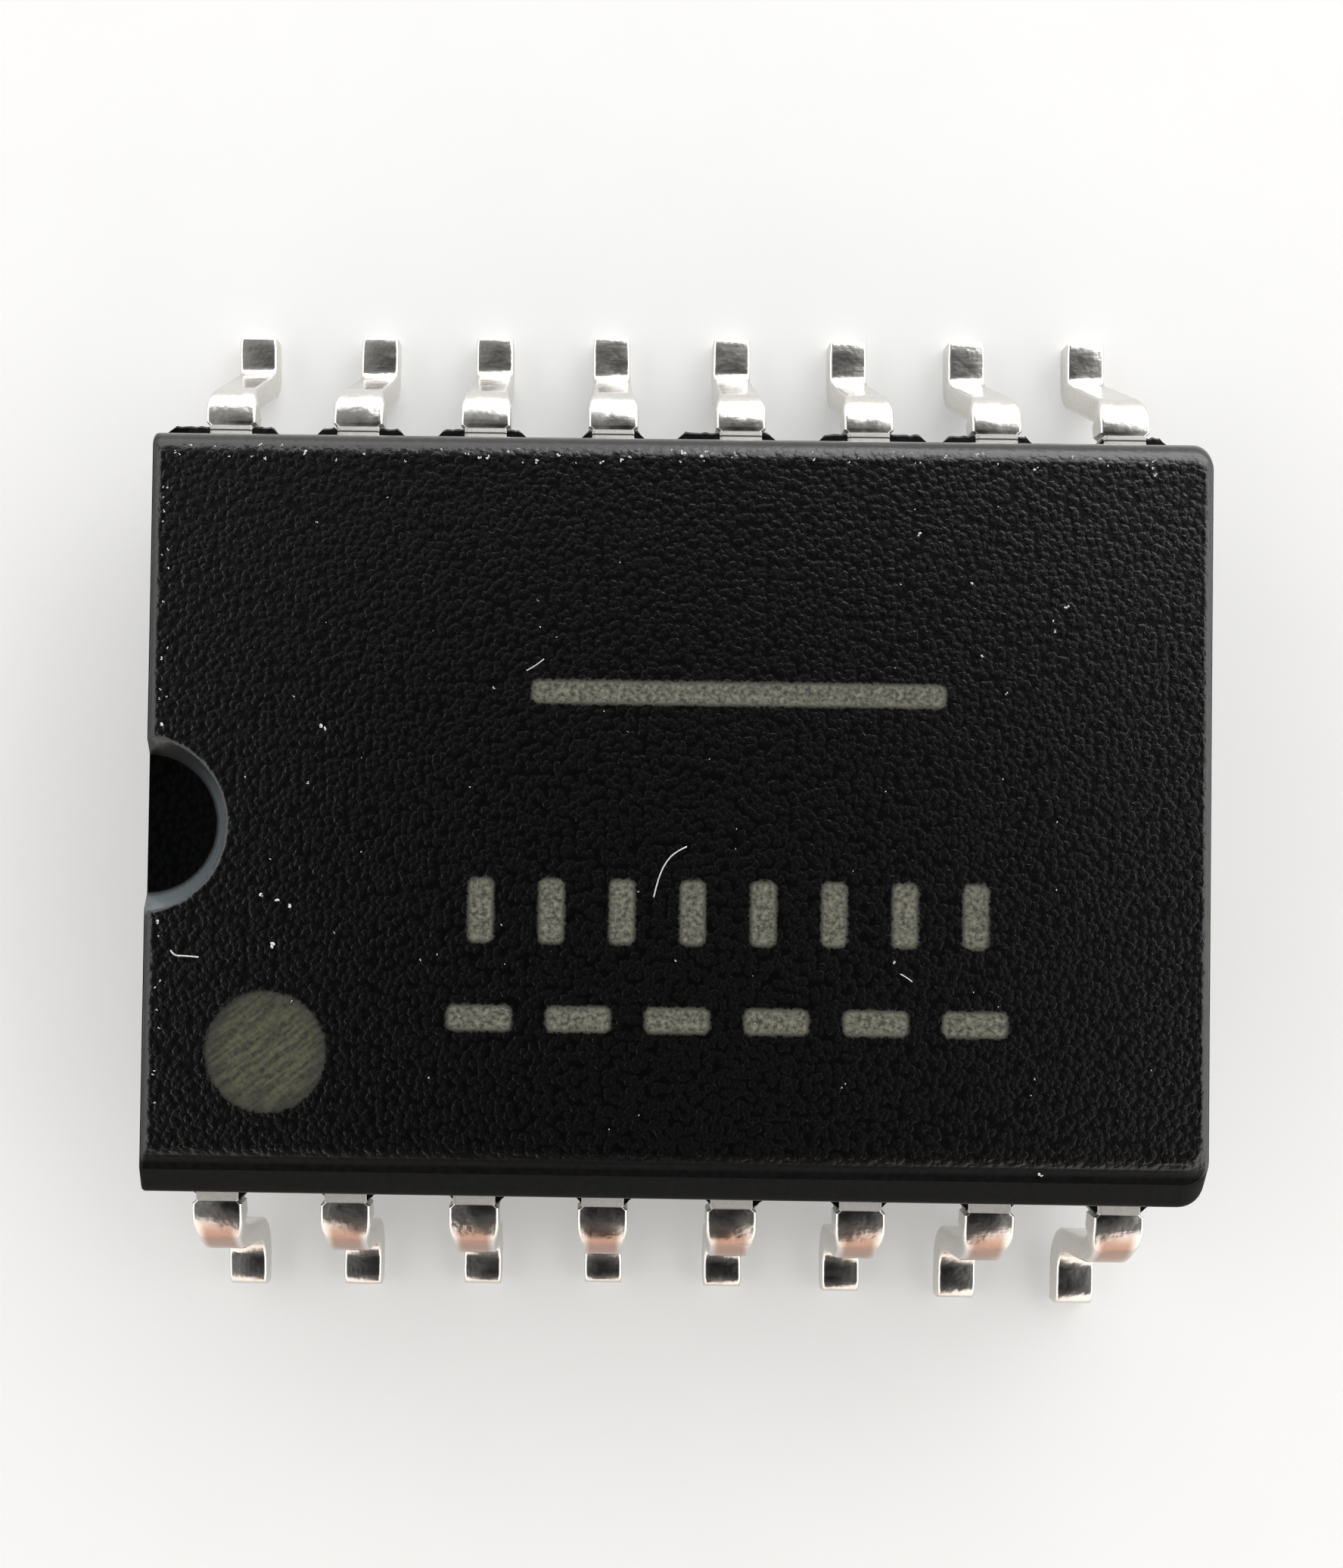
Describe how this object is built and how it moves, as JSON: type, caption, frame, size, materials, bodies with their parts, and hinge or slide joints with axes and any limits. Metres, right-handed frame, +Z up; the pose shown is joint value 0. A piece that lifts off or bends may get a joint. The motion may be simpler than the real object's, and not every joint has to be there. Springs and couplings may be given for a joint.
{
  "type": "small-outline integrated circuit",
  "caption": "Surface-mount chip in a wide black moulded package, with bent tin-plated leads along both long sides.",
  "frame": {"origin": "on the board's surface, under the middle of the body", "axes": "+X along the lead rows away from the index notch, +Y across the body away from pin 1, +Z up from the board"},
  "size_m": [0.0104, 0.0104, 0.0025],
  "materials": {
    "mould_compound": "moulded epoxy with a fine spark-eroded grain",
    "tin_plate": "bright tin plate on copper alloy, bent after plating",
    "copper_frame": "stamped copper alloy",
    "die_glue": "cured silver-filled glue",
    "silicon": "polished and sawn silicon",
    "gold_wire": "drawn gold wire"
  },
  "bodies": {
    "root": {"bond_wire_01": "gold_wire", "bond_wire_02": "gold_wire", "bond_wire_03": "gold_wire", "bond_wire_04": "gold_wire", "bond_wire_05": "gold_wire", "bond_wire_06": "gold_wire", "bond_wire_07": "gold_wire", "bond_wire_08": "gold_wire", "bond_wire_09": "gold_wire", "bond_wire_10": "gold_wire", "bond_wire_11": "gold_wire", "bond_wire_12": "gold_wire", "bond_wire_13": "gold_wire", "bond_wire_14": "gold_wire", "bond_wire_15": "gold_wire", "bond_wire_16": "gold_wire", "die": "silicon", "die_attach": "die_glue", "die_paddle": "copper_frame", "lead_01": "tin_plate", "lead_02": "tin_plate", "lead_03": "tin_plate", "lead_04": "tin_plate", "lead_05": "tin_plate", "lead_06": "tin_plate", "lead_07": "tin_plate", "lead_08": "tin_plate", "lead_09": "tin_plate", "lead_10": "tin_plate", "lead_11": "tin_plate", "lead_12": "tin_plate", "lead_13": "tin_plate", "lead_14": "tin_plate", "lead_15": "tin_plate", "lead_16": "tin_plate", "moulded_body": "mould_compound"}
  },
  "joints": []
}
